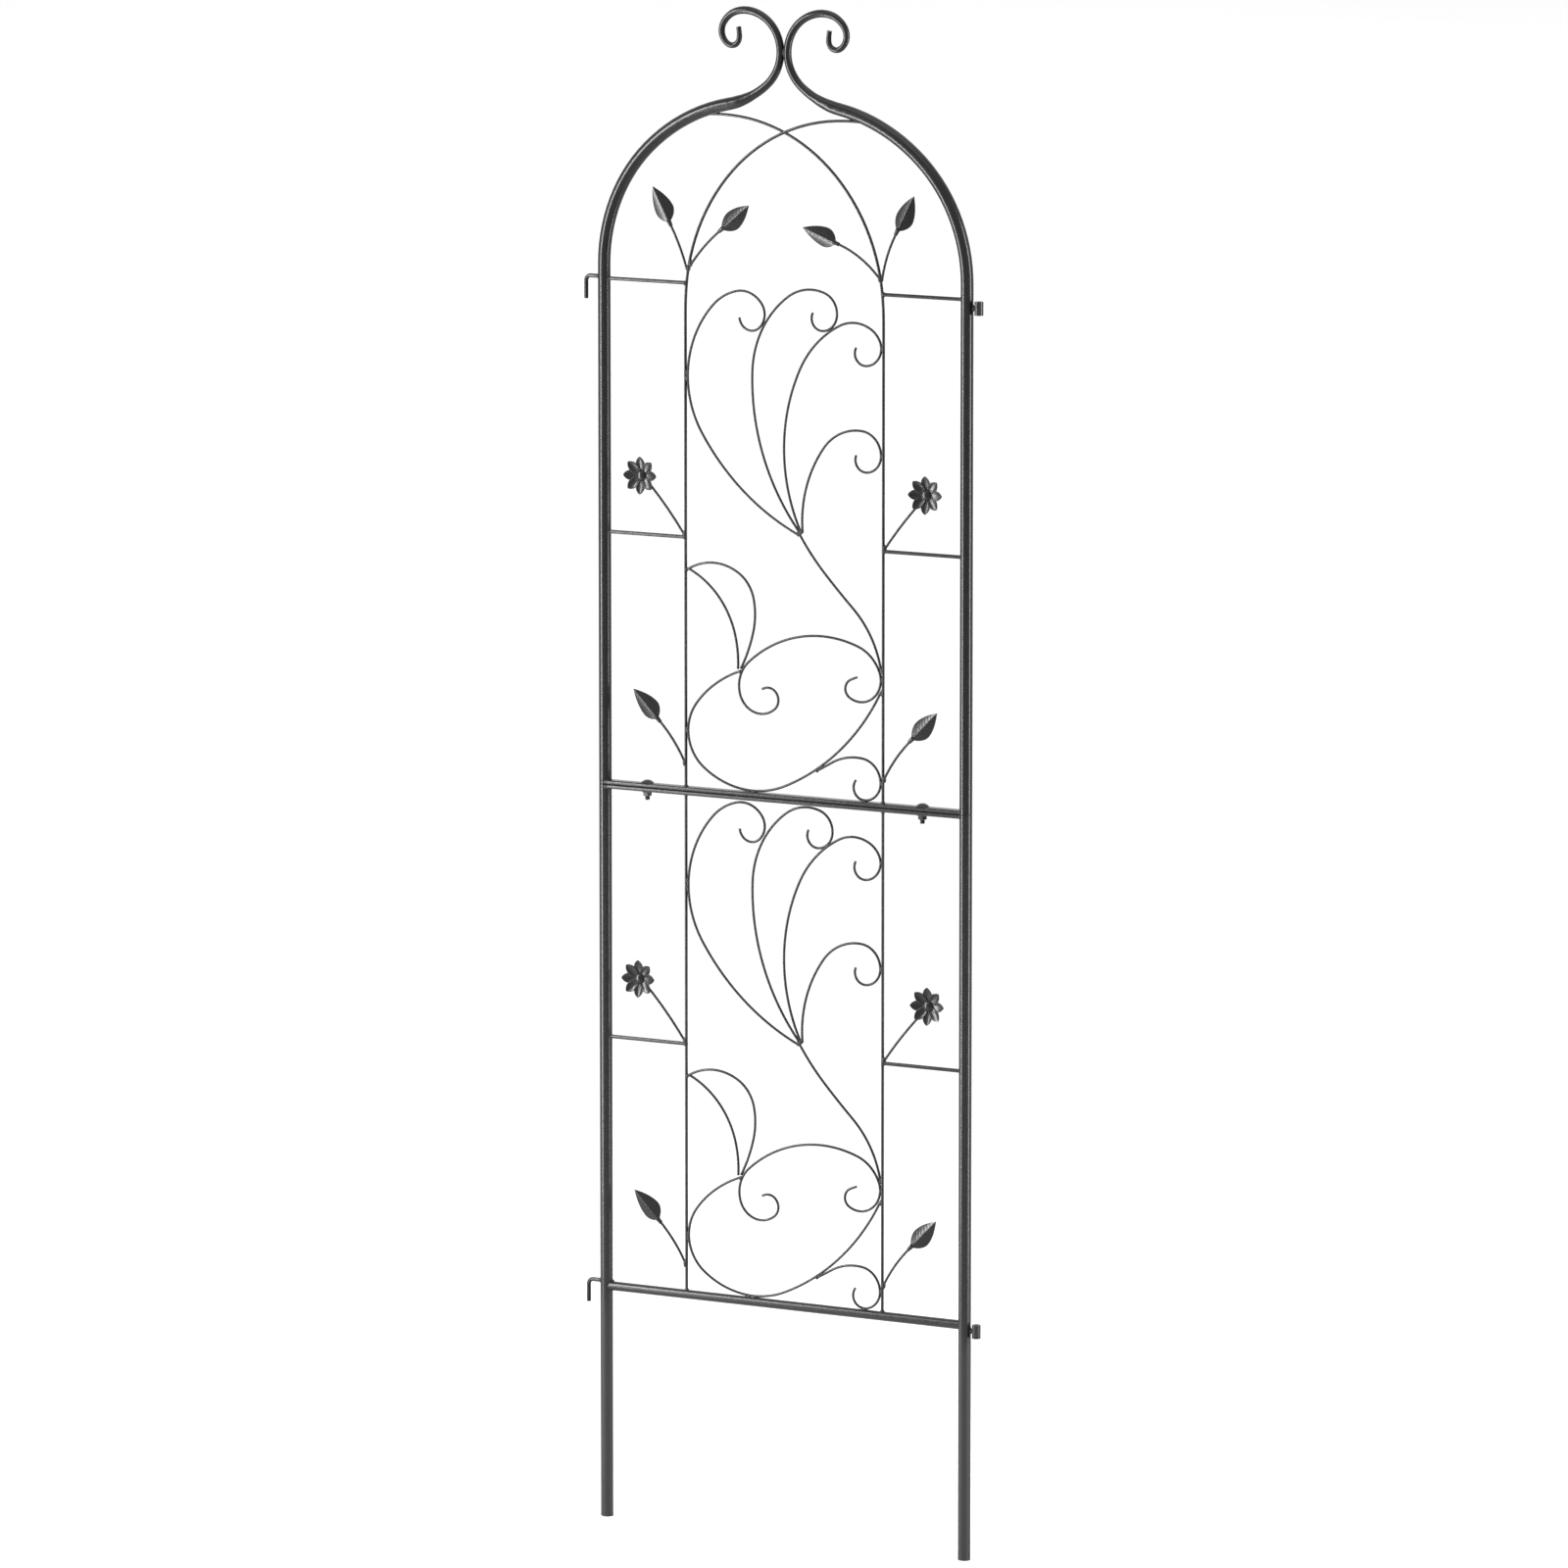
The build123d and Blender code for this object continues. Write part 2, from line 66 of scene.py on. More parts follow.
body_of = {n: body for body, members in frame["record"]["behaviour"]["bodies"].items() for n in members}
SECTIONS = ("upper", "lower")
MM = 0.001
FRONT = Vector((0, -1, 0))


# ---------------------------------------------------------------- node graph helper
class Graph:
    """A material's node tree, with short calls for the nodes used here."""

    def __init__(self, name):
        self.material = bpy.data.materials.new(name)
        self.material.use_nodes = True
        self.tree = self.material.node_tree
        self.shader = self.tree.nodes["Principled BSDF"]
        self.place = self.tree.nodes.new("ShaderNodeTexCoord").outputs["Object"]

    def link(self, source, target):
        self.tree.links.new(source, target)

    def noise(self, scale, detail=3.0, roughness=0.5, distortion=0.0):
        """Noise over the surface in metres; scale is the number of grains in a metre."""
        node = self.tree.nodes.new("ShaderNodeTexNoise")
        node.inputs["Scale"].default_value = scale
        node.inputs["Detail"].default_value = detail
        node.inputs["Roughness"].default_value = roughness
        node.inputs["Distortion"].default_value = distortion
        self.link(self.place, node.inputs["Vector"])
        return node.outputs["Fac"]

    def specks(self, scale, low, high):
        """Scattered round specks: 1 at their middles, 0 between them."""
        node = self.tree.nodes.new("ShaderNodeTexVoronoi")
        node.inputs["Scale"].default_value = scale
        self.link(self.place, node.inputs["Vector"])
        return self.remap(node.outputs["Distance"], low, high, 1.0, 0.0)

    def remap(self, value, from_low, from_high, to_low, to_high):
        node = self.tree.nodes.new("ShaderNodeMapRange")
        node.inputs["From Min"].default_value = from_low
        node.inputs["From Max"].default_value = from_high
        node.inputs["To Min"].default_value = to_low
        node.inputs["To Max"].default_value = to_high
        self.link(value, node.inputs["Value"])
        return node.outputs["Result"]

    def math(self, operation, a, b):
        node = self.tree.nodes.new("ShaderNodeMath")
        node.operation = operation
        for socket, value in zip(node.inputs, (a, b)):
            if isinstance(value, (int, float)):
                socket.default_value = value
            else:
                self.link(value, socket)
        return node.outputs[0]

    def mix(self, factor, first, second):
        node = self.tree.nodes.new("ShaderNodeMix")
        node.data_type = "RGBA"
        colours = [s for s in node.inputs if s.type == "RGBA"]
        self.link(factor, node.inputs[0])
        for socket, value in zip(colours, (first, second)):
            if isinstance(value, tuple):
                socket.default_value = (*value, 1.0)
            else:
                self.link(value, socket)
        return [s for s in node.outputs if s.type == "RGBA"][0]

    def height(self):
        """Height above the ground, in metres."""
        node = self.tree.nodes.new("ShaderNodeSeparateXYZ")
        self.link(self.place, node.inputs[0])
        return node.outputs["Z"]

    def worn_edge(self, low, high):
        """1 on sharp outward edges, 0 elsewhere."""
        node = self.tree.nodes.new("ShaderNodeNewGeometry")
        return self.remap(node.outputs["Pointiness"], low, high, 0.0, 1.0)

    def bump(self, heights):
        """Several (height, strength, distance) bumps, one over the other, onto the shader."""
        before = None
        for height, strength, distance in heights:
            node = self.tree.nodes.new("ShaderNodeBump")
            node.inputs["Strength"].default_value = strength
            node.inputs["Distance"].default_value = distance
            self.link(height, node.inputs["Height"])
            if before:
                self.link(before, node.inputs["Normal"])
            before = node.outputs["Normal"]
        self.link(before, self.shader.inputs["Normal"])

    def set(self, **values):
        for name, value in values.items():
            self.shader.inputs[name.replace("_", " ")].default_value = value
        return self.material


# ---------------------------------------------------------------- materials
def powder_coat(name, tone, gloss_low, gloss_high, painted_stake_shade=False):
    """Satin black powder coat: fine orange peel, faint mottle, dust specks and brighter worn edges; on the
    stakes, painted shading towards the ground.
    """
    g = Graph(name)
    mottle = g.remap(g.noise(45, 4.0, 0.6), 0.3, 0.7, 0.0, 1.0)
    dark = tuple(c * 0.8 for c in tone)
    light = tuple(c * 1.25 for c in tone)
    colour = g.mix(mottle, dark, light)
    dust = g.math("MULTIPLY", g.specks(900, 0.05, 0.16), g.remap(g.noise(60, 2.0), 0.5, 0.72, 0.0, 0.5))
    colour = g.mix(dust, colour, (0.08, 0.078, 0.075))
    colour = g.mix(g.math("MULTIPLY", g.worn_edge(0.56, 0.72), 0.3), colour, (0.05, 0.05, 0.053))
    rough = g.remap(g.noise(160, 3.0), 0.3, 0.7, gloss_low, gloss_high)
    if painted_stake_shade:
        # painted shading: below about 0.26 m, along an uneven line, the stakes are mixed half way to a
        # flatter, lighter grey that stands in for the duller light falling on them there; they are also made
        # rougher
        stake_shade_mask = g.remap(g.math("ADD", g.height(), g.remap(g.noise(28, 3.0), 0.0, 1.0, -0.02, 0.02)),
                       0.24, 0.28, 1.0, 0.0)
        colour = g.mix(g.math("MULTIPLY", stake_shade_mask, 0.5), colour, (0.022, 0.021, 0.020))
        rough = g.math("ADD", rough, g.math("MULTIPLY", stake_shade_mask, 0.22))
    g.link(colour, g.shader.inputs["Base Color"])
    g.link(rough, g.shader.inputs["Roughness"])
    g.bump([(g.noise(420, 2.0, 0.45), 0.10, 0.0003), (g.noise(1800, 2.0, 0.6), 0.08, 0.0001)])
    return g.set(Metallic=0.0, Specular_IOR_Level=0.2, Coat_Weight=0.1, Coat_Roughness=0.15)


def blackened_zinc(name):
    """Black-coated fastener: darker plating with turned streaks and bare bright rubs on the edges."""
    g = Graph(name)
    streak = g.remap(g.noise(700, 4.0, 0.7, 1.5), 0.35, 0.65, 0.0, 1.0)
    colour = g.mix(streak, (0.012, 0.012, 0.013), (0.032, 0.032, 0.034))
    colour = g.mix(g.math("MULTIPLY", g.worn_edge(0.54, 0.64), 0.8), colour, (0.20, 0.195, 0.19))
    g.link(colour, g.shader.inputs["Base Color"])
    g.link(g.remap(g.noise(300, 3.0), 0.3, 0.7, 0.28, 0.46), g.shader.inputs["Roughness"])
    g.bump([(g.noise(1500, 3.0, 0.6), 0.2, 0.0001)])
    return g.set(Metallic=0.75)


def moulded_plug(name):
    """Matte black polymer with a fine moulded grain and soil-dulled patches."""
    g = Graph(name)
    patch = g.remap(g.noise(120, 4.0, 0.6), 0.4, 0.7, 0.0, 1.0)
    g.link(g.mix(patch, (0.010, 0.010, 0.011), (0.024, 0.023, 0.022)), g.shader.inputs["Base Color"])
    g.link(g.remap(g.noise(500, 2.0), 0.3, 0.7, 0.55, 0.75), g.shader.inputs["Roughness"])
    g.bump([(g.noise(2400, 2.0, 0.5), 0.25, 0.00015)])
    return g.set(Metallic=0.0)


def weld_coat(name):
    """The same coat over a weld bead: rippled underneath, a little glossier on the crests."""
    g = Graph(name)
    ripple = g.noise(650, 3.0, 0.65, 0.6)
    colour = g.mix(g.remap(ripple, 0.3, 0.7, 0.0, 1.0), (0.007, 0.007, 0.0076), (0.014, 0.014, 0.015))
    g.link(colour, g.shader.inputs["Base Color"])
    g.link(g.remap(ripple, 0.3, 0.7, 0.5, 0.3), g.shader.inputs["Roughness"])
    g.bump([(ripple, 0.5, 0.0005)])
    return g.set(Metallic=0.0, Specular_IOR_Level=0.22, Coat_Weight=0.1, Coat_Roughness=0.2)


BLACK = (0.0055, 0.0055, 0.0060)
COAT = powder_coat("powder_coat", BLACK, 0.22, 0.32)
# the stakes' coat also gets painted shading below about 0.26 m
COAT_STAKE = powder_coat("powder_coat_stakes", BLACK, 0.22, 0.32, painted_stake_shade=True)
COAT_SHEET = powder_coat("powder_coat_sheet", BLACK, 0.24, 0.34)
ZINC = blackened_zinc("blackened_zinc")
PLUG = moulded_plug("plug_polymer")
WELD = weld_coat("coated_weld")


def paint(obj, material):
    """Give an object one material on every slot."""
    if not obj.material_slots:
        obj.data.materials.append(material)
    for item in obj.material_slots:
        item.material = material


for name, obj in nodes.items():
    if name in ("left_screw", "right_screw", "left_nut", "right_nut"):
        paint(obj, ZINC)
    elif name == "stake_plugs":
        paint(obj, PLUG)
    elif name in ("lower_left_post", "lower_right_post"):
        paint(obj, COAT_STAKE)
    else:
        paint(obj, COAT)


# ---------------------------------------------------------------- mesh helpers
def new_piece(name, bm, body, material, smooth=True):
    """Make an object of a bmesh, ride it on a CAD body and give it its finish."""
    bmesh.ops.recalc_face_normals(bm, faces=bm.faces)
    mesh = bpy.data.meshes.new(name)
    bm.to_mesh(mesh)
    bm.free()
    mesh.materials.append(material)
    for face in mesh.polygons:
        face.use_smooth = smooth
    obj = bpy.data.objects.new(name, mesh)
    bpy.context.scene.collection.objects.link(obj)
    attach(obj, body)
    return obj


def points_of(node):
    """A CAD node's vertices, in the row frame."""
    return [v.co.copy() for v in nodes[node].data.vertices]


def lathe(bm, profile, axis_foot, turns=48):
    """Turn an (r, z) profile about a vertical axis through axis_foot; both ends close on the axis."""
    rings = []
    for r, z in profile:
        if r < 1e-7:
            rings.append([bm.verts.new(axis_foot + Vector((0, 0, z)))])
            continue
        ring = []
        for k in range(turns):
            a = 2 * math.pi * k / turns
            ring.append(bm.verts.new(axis_foot + Vector((r * math.cos(a), r * math.sin(a), z))))
        rings.append(ring)
    for low, high in zip(rings, rings[1:]):
        for k in range(turns):
            n = (k + 1) % turns
            corners = [low[k % len(low)], low[n % len(low)], high[n % len(high)], high[k % len(high)]]
            unique = list(dict.fromkeys(corners))
            if len(unique) > 2:
                bm.faces.new(unique)


def add_turned(bm, profile_mm, foot, axis, turns):
    """Add to bm a solid turned from an (r, z) profile in millimetres, its z running along axis from foot."""
    turned = bmesh.new()
    lathe(turned, [(r * MM, z * MM) for r, z in profile_mm], Vector((0, 0, 0)), turns)
    mesh = bpy.data.meshes.new("turned")
    turned.to_mesh(mesh)
    turned.free()
    mesh.transform(Matrix.Translation(foot) @ axis.to_track_quat("Z", "Y").to_matrix().to_4x4())
    bm.from_mesh(mesh)
    bpy.data.meshes.remove(mesh)


def add_sheet(bm, surface, shares, columns):
    """Add to bm a closed sheet: surface(t, u, back) at each share t, for u from -1 to 1, front and back."""
    rows = len(shares) - 1
    sides = []
    for back in (False, True):
        grid = []
        for t in shares:
            line = [surface(t, 2 * j / columns - 1, back) for j in range(columns + 1)]
            grid.append([bm.verts.new(point) for point in line])
        for i in range(rows):
            for j in range(columns):
                bm.faces.new([grid[i][j], grid[i][j + 1], grid[i + 1][j + 1], grid[i + 1][j]])
        sides.append(grid)
    front, rear = sides
    for i in range(rows):
        for j in (0, columns):
            bm.faces.new([front[i][j], front[i + 1][j], rear[i + 1][j], rear[i][j]])
    for i in (0, rows):
        for j in range(columns):
            bm.faces.new([front[i][j], front[i][j + 1], rear[i][j + 1], rear[i][j]])


# ---------------------------------------------------------------- pressed leaves
LEAF_HALF_WIDE = 11.5 * MM
SHEET = 1.2 * MM
LEAF_FOLD = 4.0 * MM
LEAF_WIDEST_AT = 0.34
LEAF_ROWS, LEAF_COLUMNS = 36, 20
LEAF_TRIM = 0.004  # share of the length left off at each end, where the blade would close to a point
MIDRIB_HIGH = 0.45 * MM
MIDRIB_WIDE = 0.9 * MM
VEINS = 6
VEIN_HIGH = 0.22 * MM
VEIN_WIDE = 0.8 * MM
LEAF_ARCH = 0.4 * MM
LEAF_SET_BACK = 0.3 * MM
COLLAR_PROFILE = [(0.0, -0.2), (1.7, 0.0), (2.3, 0.5), (2.35, 2.2), (2.5, 4.4), (2.9, 6.6), (2.95, 7.4),
                  (2.5, 8.2), (1.5, 8.9), (0.0, 9.2)]
# degrees by which some leaves are bent round their own stem
LEAF_TURNS = {"upper_left_outer_leaf": 10, "lower_left_low_leaf": 5, "upper_left_low_leaf": 5}
COLLAR_LONG = 6.0 * MM


def leaf_axes(node):
    """Stem end of the collar, the leaf's tip and the direction between them, from the CAD leaf."""
    points = points_of(node)
    middle = sum(points, Vector()) / len(points)
    tip = max(points, key=lambda p: (p - middle).length)
    far = max(points, key=lambda p: (p - tip).length)
    along = (far - tip).normalized() * -1
    foot_points = [p for p in points if (p - far).dot(along) < 0.6 * MM]
    foot = sum(foot_points, Vector()) / len(foot_points)
    foot.y = 0.0
    tip.y = 0.0
    return foot, tip, (tip - foot).normalized()


def leaf_half_width(t):
    """Half width of the blade, as a share of its widest, at share t of its length."""
    rise = math.sin(math.pi * min(t / LEAF_WIDEST_AT, 1.0) / 2) ** 0.62
    fall = 1.0 if t < LEAF_WIDEST_AT else 1.0 - ((t - LEAF_WIDEST_AT) / (1 - LEAF_WIDEST_AT)) ** 1.75
    return rise * max(fall, 0.0)


def build_leaf(node):
    """A folded leaf pressed from sheet, with midrib, side veins and a rolled collar round the stem."""
    foot, tip, along = leaf_axes(node)
    side = along.cross(FRONT).normalized()
    turned = Matrix.Rotation(math.radians(LEAF_TURNS.get(node, 0)), 3, along)
    side = turned @ side
    forward = turned @ FRONT
    base = foot + along * COLLAR_LONG
    long = (tip - base).length

    def surface(t, u, back):
        """Point at share t along and share u across the blade, on its front or back."""
        wide = LEAF_HALF_WIDE * leaf_half_width(t)
        across = abs(u) * wide
        fold = LEAF_FOLD * (across / LEAF_HALF_WIDE) ** 1.25
        rib = MIDRIB_HIGH * math.exp(-(across / MIDRIB_WIDE) ** 2) * (1 - t) ** 0.5
        vein = 0.0
        for k in range(1, VEINS + 1):
            offset = (t - 0.10 - 0.115 * k) * long - across * 0.75
            vein += math.exp(-(offset / VEIN_WIDE) ** 2)
        vein *= VEIN_HIGH * min(1.0, across / (2 * MM)) * (1 - abs(u) ** 4)
        lift = -fold + rib + vein + LEAF_ARCH * math.sin(math.pi * t)
        thick = SHEET * (0.5 if back else -0.5)
        return base + along * (t * long) + side * (u * wide) + forward * (lift - thick - LEAF_SET_BACK)

    bm = bmesh.new()
    shares = [LEAF_TRIM + (1 - 2 * LEAF_TRIM) * i / LEAF_ROWS for i in range(LEAF_ROWS + 1)]
    add_sheet(bm, surface, shares, LEAF_COLUMNS)
    add_turned(bm, COLLAR_PROFILE, foot, along, 24)
    piece = new_piece(node + "_pressed", bm, body_of[node], COAT_SHEET)
    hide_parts(node)


for name in sorted(nodes):
    if name.endswith("_leaf"):
        build_leaf(name)

# ---------------------------------------------------------------- pressed flowers
PETALS = 8
PETAL_TIP_R = 22.4 * MM
PETAL_HALF_WIDE = 5.9 * MM
PETAL_WIDEST_AT = 0.58
PETAL_CUP = 4.4 * MM
PETAL_ROOT_R = 2.5 * MM
PETAL_ROWS, PETAL_COLUMNS = 16, 12
PETAL_REACH = 0.997  # share of the length that is drawn, short of the point where the sides meet
PETAL_OVERLAP = 0.25 * MM
SPOON_DEEP = 1.5 * MM
PETAL_VEIN_HIGH = 0.5 * MM
PETAL_VEIN_WIDE = 0.7 * MM
HUB_PROFILE = [(0.0, 0.0), (6.3, 0.0), (6.75, 0.5), (6.8, 1.5), (6.5, 2.4), (5.7, 3.4), (4.3, 4.3),
               (2.4, 4.95), (0.0, 5.2)]


def petal_half_width(t):
    """Half width of a petal, as a share of its widest, at share t from hub to tip."""
    if t < PETAL_WIDEST_AT:
        return 0.5 + 0.5 * math.sin(math.pi / 2 * t / PETAL_WIDEST_AT)
    return max(0.0, 1 - ((t - PETAL_WIDEST_AT) / (1 - PETAL_WIDEST_AT)) ** 1.9) ** 0.82


def build_flower(node):
    """Eight creased petals pressed from sheet, cupped forward round a domed hub."""
    low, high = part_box(node)
    centre = Vector(((low.x + high.x) / 2, high.y, (low.z + high.z) / 2))
    bm = bmesh.new()
    shares = [math.sin(math.pi / 2 * i / PETAL_ROWS) * PETAL_REACH for i in range(PETAL_ROWS + 1)]
    for k in range(PETALS):
        angle = 2 * math.pi * k / PETALS
        out = Vector((math.cos(angle), 0, math.sin(angle)))
        side = out.cross(FRONT).normalized()
        over = PETAL_OVERLAP if k % 2 else 0.0

        def surface(t, u, back):
            """Point at share t from the petal's root and share u across it, on its front or back."""
            reach = PETAL_ROOT_R + (PETAL_TIP_R - PETAL_ROOT_R) * t
            wide = PETAL_HALF_WIDE * petal_half_width(t)
            cup = PETAL_CUP * (reach / PETAL_TIP_R) ** 2
            spoon = SPOON_DEEP * abs(u) ** 1.6 * math.sin(math.pi * min(1.0, 0.1 + t * 0.9)) ** 0.6
            vein = PETAL_VEIN_HIGH * math.exp(-(u * wide / PETAL_VEIN_WIDE) ** 2) * (1 - t)
            lift = cup + spoon + vein + over
            if not back:
                lift += SHEET * 0.7
            return centre + out * reach + side * (u * wide) + FRONT * lift

        add_sheet(bm, surface, shares, PETAL_COLUMNS)
    add_turned(bm, HUB_PROFILE, centre, FRONT, 40)
    piece = new_piece(node + "_pressed", bm, body_of[node], COAT_SHEET)
    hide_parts(node)


for name in sorted(nodes):
    if name.endswith("_flower"):
        build_flower(name)

# ---------------------------------------------------------------- screws with a rolled thread
THREAD_PITCH = 1.0 * MM
THREAD_DEEP = 0.45 * MM
THREAD_SIDES = 36
ROWS_PER_TURN = 5
THREAD_LEAD_IN = 0.7 * MM  # the tip is tapered over this length
TIP_TAPER = 0.5 * MM
SHANK_R = 3.0 * MM
NECK_LONG = 2.5 * MM
HEAD_EDGE = 0.3 * MM
DOME_STEPS = 14


def build_screw(node):
    """Domed screw with a square neck and a threaded shank."""
    low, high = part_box(node)
    foot = Vector(((low.x + high.x) / 2, (low.y + high.y) / 2, 0))
    bar_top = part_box("upper_mid_bar")[1].z
    head_r = (high.x - low.x) / 2
    head_high = high.z - bar_top
    dome_r = (head_r ** 2 + head_high ** 2) / (2 * head_high)
    profile = [(0.0, bar_top), (head_r - HEAD_EDGE, bar_top), (head_r, bar_top + 0.25 * MM)]
    for k in range(1, DOME_STEPS + 1):
        r = head_r * math.cos(math.pi / 2 * k / DOME_STEPS)
        z = high.z - dome_r + math.sqrt(dome_r ** 2 - r ** 2)
        profile.append((r if k < DOME_STEPS else 0.0, max(z, bar_top + HEAD_EDGE)))
    bm = bmesh.new()
    lathe(bm, profile, foot, 64)
    neck = bmesh.ops.create_cube(bm, size=1.0)["verts"]
    for v in neck:
        v.co = Vector((v.co.x * 2 * SHANK_R, v.co.y * 2 * SHANK_R, v.co.z * NECK_LONG))
        v.co += foot + Vector((0, 0, bar_top - NECK_LONG / 2))
    top = bar_top - NECK_LONG
    rows = int((top - low.z) / THREAD_PITCH * ROWS_PER_TURN)
    rings = []
    for i in range(rows + 1):
        ring = []
        for k in range(THREAD_SIDES):
            a = 2 * math.pi * k / THREAD_SIDES
            z = low.z + (top - low.z) * i / rows
            phase = ((z - low.z) / THREAD_PITCH - k / THREAD_SIDES) % 1.0
            depth = THREAD_DEEP * abs(2 * phase - 1)
            fade = TIP_TAPER * max(0.0, 1 - (z - low.z) / THREAD_LEAD_IN)
            r = SHANK_R - depth - fade
            ring.append(bm.verts.new(foot + Vector((r * math.cos(a), r * math.sin(a), z))))
        rings.append(ring)
    for a_ring, b_ring in zip(rings, rings[1:]):
        for k in range(THREAD_SIDES):
            n = (k + 1) % THREAD_SIDES
            bm.faces.new([a_ring[k], a_ring[n], b_ring[n], b_ring[k]])
    bm.faces.new(rings[0])
    bm.faces.new(rings[-1])
    piece = new_piece(node + "_threaded", bm, body_of[node], ZINC, smooth=False)
    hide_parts(node)


for name in ("left_screw", "right_screw"):
    build_screw(name)

# ---------------------------------------------------------------- weld beads where pieces meet
trees = {}


def surface_tree(node):
    """A search tree over a CAD node's surface, made once."""
    if node not in trees:
        mesh = nodes[node].data
        faces = [p.vertices for p in mesh.polygons]
        trees[node] = BVHTree.FromPolygons([v.co for v in mesh.vertices], faces)
    return trees[node]


def meeting_points(a, b, reach=0.25 * MM, apart=6 * MM):
    """Middles of the places where node a's surface touches node b's."""
    tree = surface_tree(b)
    spots = []
    for vertex in nodes[a].data.vertices:
        hit = tree.find_nearest(vertex.co, reach)
        if hit[0] is None:
            continue
        for spot in spots:
            if (spot[0] / spot[1] - vertex.co).length < apart:
                spot[0] += vertex.co
                spot[1] += 1
                break
        else:
            spots.append([vertex.co.copy(), 1])
    return [total / count for total, count in spots]


def add_bead(bm, centre, along, length, radius, seed):
    """One lumpy bead: a stretched sphere with ripples along it."""
    made = bmesh.ops.create_icosphere(bm, subdivisions=3, radius=1.0)["verts"]
    turn = along.to_track_quat("Z", "Y").to_matrix()
    for v in made:
        p = v.co.copy()
        lump = 1 + 0.10 * noise.noise(p * 1.6 + Vector((seed, 0, 0))) + 0.035 * math.sin(p.z * 9 + seed)
        v.co = centre + turn @ Vector((p.x * radius * lump, p.y * radius * lump, p.z * length * lump))


UP = Vector((0, 0, 1))
ACROSS = Vector((1, 0, 0))
random.seed(7)


def weld_group(name, body, joints):
    """Beads for (node, node, direction, half length, radius) joints, as one piece on a body."""
    bm = bmesh.new()
    for a, b, along, length, radius in joints:
        for spot in meeting_points(a, b):
            add_bead(bm, spot, along, length, radius, random.uniform(0, 20))
    new_piece(name, bm, body, WELD)


for section in SECTIONS:
    body = section + "_section"
    joints = []
    bar = "upper_mid_bar" if section == "upper" else "bottom_bar"
    for side in ("left", "right"):
        vine = f"{section}_{side}_vine"
        joints.append((vine, bar, ACROSS, 3.0 * MM, 2.3 * MM))
        joints.append((f"{section}_rungs", vine, UP, 3.2 * MM, 2.8 * MM))
        if section == "lower":
            joints.append((vine, "lower_mid_bar", ACROSS, 3.0 * MM, 2.3 * MM))
    left, right = f"{section}_left_vine", f"{section}_right_vine"
    for wire, other in (("plume_1", left), ("plume_3", right), ("plume_4", right), ("belly_wire", left),
                        ("belly_wire", right), ("body_scroll", right), ("small_scroll", right),
                        ("plume_stem", right)):
        joints.append((f"{section}_{wire}", other, UP, 4.2 * MM, 1.75 * MM))
    for wire in ("loop_outer", "loop_inner"):
        joints.append((f"{section}_{wire}", left, UP, 2.6 * MM, 2.1 * MM))
    joints.append((f"{section}_belly_wire", bar, ACROSS, 5.0 * MM, 1.6 * MM))
    joints.append((f"{section}_small_scroll", bar, ACROSS, 3.5 * MM, 1.6 * MM))
    for first, second in (("plume_1", "plume_stem"), ("plume_3", "plume_stem"), ("plume_4", "plume_3"),
                          ("belly_wire", "body_scroll"), ("loop_inner", "belly_wire"),
                          ("small_scroll", "belly_wire")):
        joints.append((f"{section}_{first}", f"{section}_{second}", UP, 2.9 * MM, 2.1 * MM))
    weld_group(f"{section}_wire_welds", body, joints)

    joints = []
    stems = f"{section}_stems"
    for side in ("left", "right"):
        post = f"{section}_{side}_post"
        joints.append((f"{section}_rungs", post, ACROSS, 1.8 * MM, 3.0 * MM))
        joints.append((f"{section}_mid_bar", post, UP, 3.0 * MM, 2.2 * MM))
        joints.append((stems, f"{section}_{side}_vine", UP, 4.5 * MM, 2.7 * MM))
        if section == "lower":
            joints.append(("bottom_bar", post, UP, 3.0 * MM, 2.2 * MM))
        else:
            joints.append((f"upper_{side}_vine", post, ACROSS, 3.0 * MM, 2.3 * MM))
    joints.append((f"{section}_hook", f"{section}_left_post", ACROSS, 2.6 * MM, 3.4 * MM))
    joints.append((f"{section}_sleeve", f"{section}_right_post", UP, 5.0 * MM, 2.2 * MM))
    if section == "upper":
        joints.append(("upper_left_vine", "upper_right_vine", ACROSS, 3.0 * MM, 2.2 * MM))
        joints.append(("left_finial", "right_finial", UP, 6.5 * MM, 2.4 * MM))
    weld_group(f"{section}_frame_welds", body, joints)

# ---------------------------------------------------------------- floor, light and camera
FLOOR_REACH = 30.0
STRIP_HIGH = 2.4
STRIP_WIDE = 0.34
VIEW_YAW = math.radians(30.04)
VIEW_PITCH = math.radians(8.52)
VIEW_AWAY = 12.952
VIEW_LENS = 255.3
AIM_RISE = -0.0041


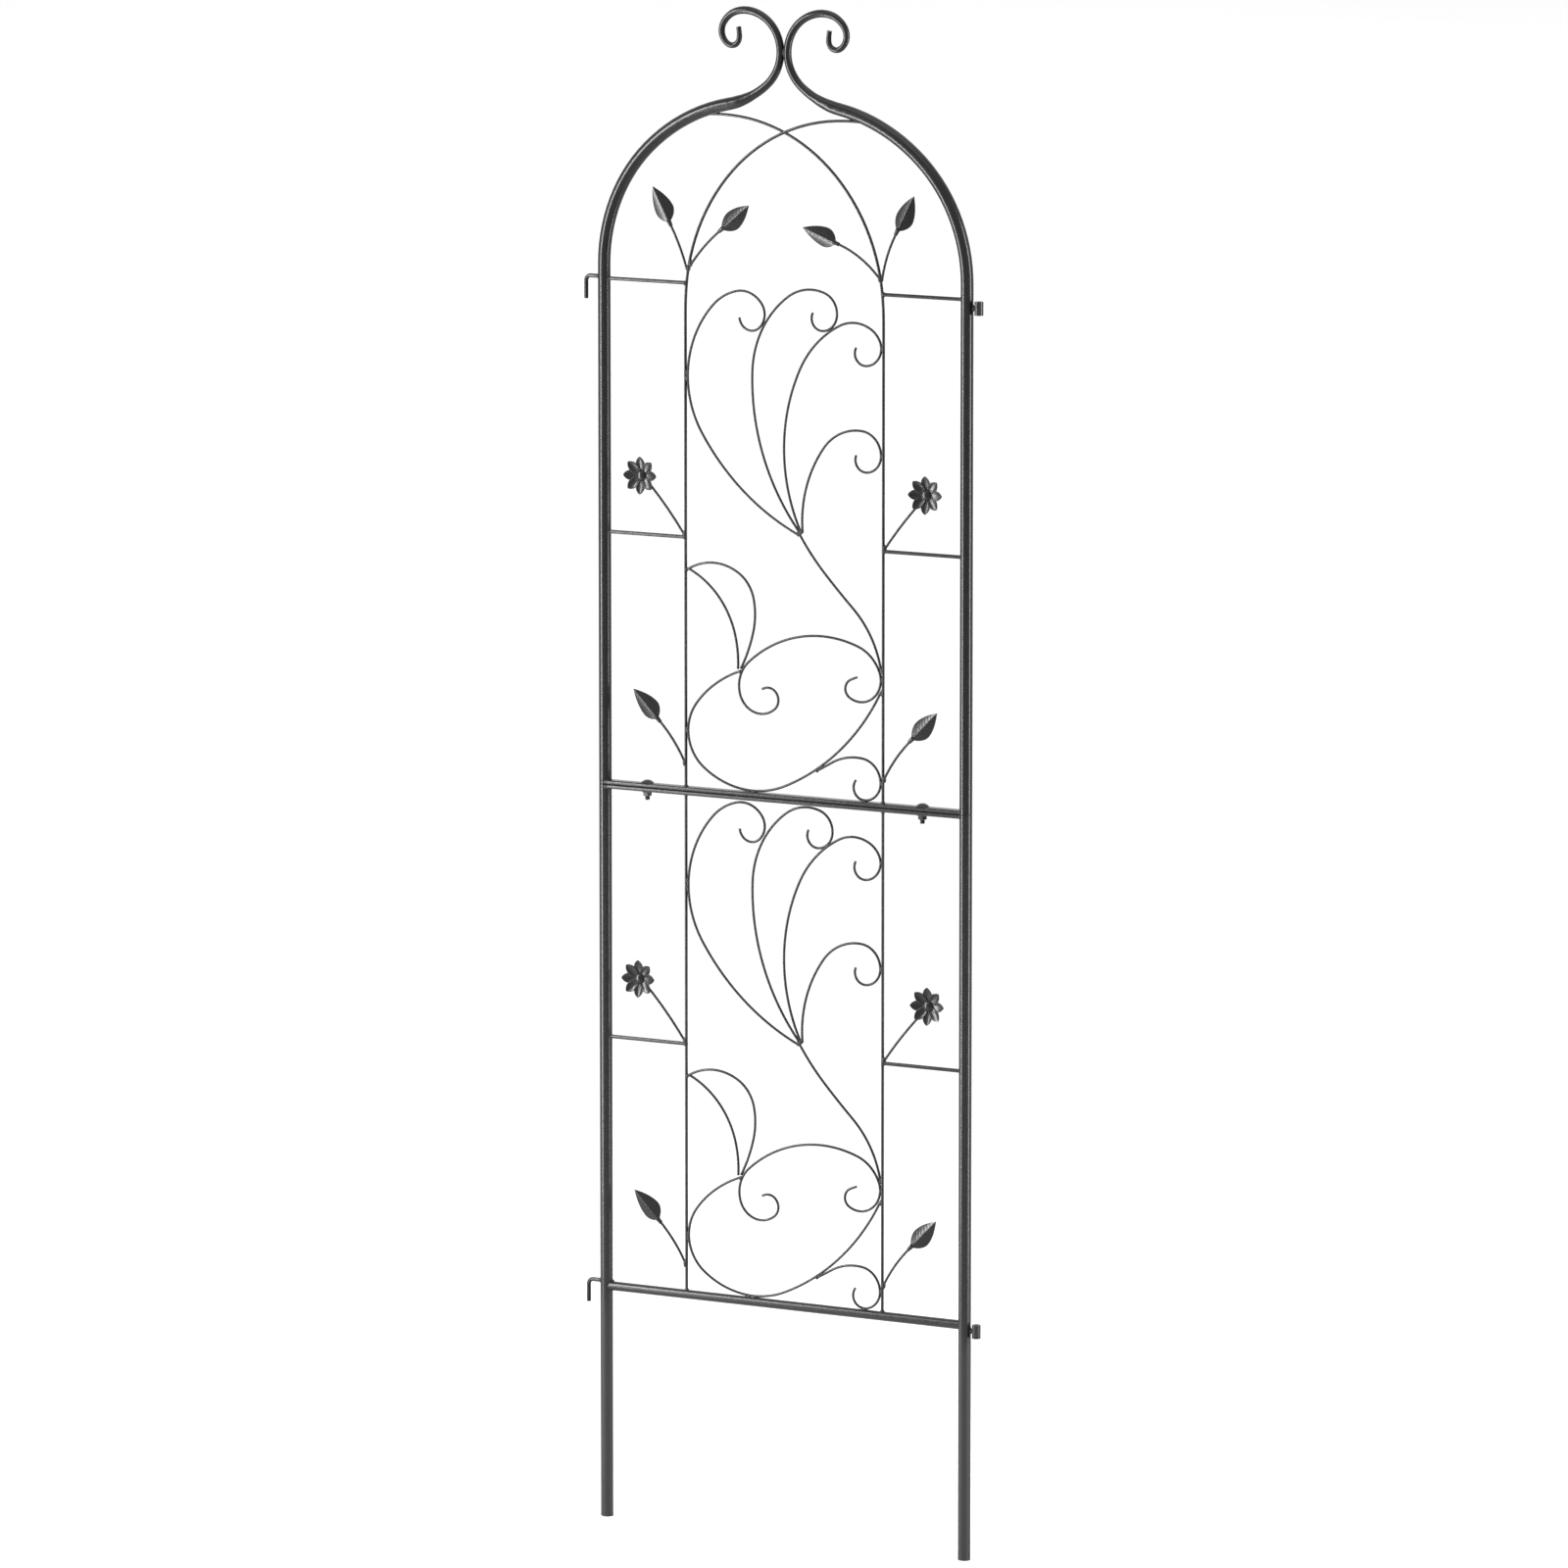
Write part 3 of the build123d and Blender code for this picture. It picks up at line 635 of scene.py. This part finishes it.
def build_floor():
    """A pale floor with a soft mottle, far wider than the object."""
    bm = bmesh.new()
    for x, y in ((-1, -1), (1, -1), (1, 1), (-1, 1)):
        bm.verts.new((x * FLOOR_REACH, y * FLOOR_REACH, cad_bounds[0].z))
    bm.faces.new(bm.verts)
    mesh = bpy.data.meshes.new("floor")
    bm.to_mesh(mesh)
    bm.free()
    floor = bpy.data.objects.new("floor", mesh)
    bpy.context.scene.collection.objects.link(floor)
    g = Graph("pale_floor")
    g.link(g.mix(g.noise(1.5, 2.0), (0.70, 0.70, 0.70), (0.73, 0.73, 0.73)), g.shader.inputs["Base Color"])
    g.link(g.remap(g.noise(8, 2.0), 0.3, 0.7, 0.75, 0.85), g.shader.inputs["Roughness"])
    mesh.materials.append(g.set(Specular_IOR_Level=0.2))


def area_light(name, place, aim, width, height, power):
    """A rectangular softbox turned towards aim."""
    data = bpy.data.lights.new(name, "AREA")
    data.shape = "RECTANGLE"
    data.size = width
    data.size_y = height
    data.energy = power
    light = bpy.data.objects.new(name, data)
    light.location = place
    light.rotation_euler = (aim - place).to_track_quat("-Z", "Y").to_euler()
    bpy.context.scene.collection.objects.link(light)
    return light


build_floor()
low, high = cad_bounds
centre = (Vector(low) + Vector(high)) / 2
strip_middle = Vector((0, 0, STRIP_HIGH / 2))
area_light("left_strip", strip_middle + Vector((-1.39, -1.44, 0)), strip_middle, STRIP_WIDE, STRIP_HIGH, 120)
area_light("right_strip", strip_middle + Vector((1.99, 0.17, 0)), strip_middle, STRIP_WIDE, STRIP_HIGH, 75)
area_light("top_softbox", centre + Vector((0.3, -0.8, 3.4)), centre, 2.6, 2.6, 40)

wash_over = Vector((-math.sin(VIEW_YAW), math.cos(VIEW_YAW), 0)) * 15
area_light("floor_wash", wash_over + Vector((0, 0, 7)), wash_over, 22, 22, 1100).visible_camera = False

world = bpy.data.worlds.new("studio")
world.use_nodes = True
world.node_tree.nodes["Background"].inputs["Color"].default_value = (1.0, 1.0, 1.0, 1.0)
world.node_tree.nodes["Background"].inputs["Strength"].default_value = 0.95
bpy.context.scene.world = world
bpy.context.scene.view_settings.view_transform = "Standard"

camera_data = bpy.data.cameras.new("camera")
camera_data.lens = VIEW_LENS
camera_data.sensor_width = 36.0
camera_data.clip_end = 100.0
camera = bpy.data.objects.new("camera", camera_data)
aim = Vector((0, 0, centre.z + AIM_RISE))
away = Vector((math.sin(VIEW_YAW) * math.cos(VIEW_PITCH), -math.cos(VIEW_YAW) * math.cos(VIEW_PITCH),
               math.sin(VIEW_PITCH)))
camera.location = aim + away * VIEW_AWAY
camera.rotation_euler = (-away).to_track_quat("-Z", "Y").to_euler()
bpy.context.scene.collection.objects.link(camera)
bpy.context.scene.camera = camera
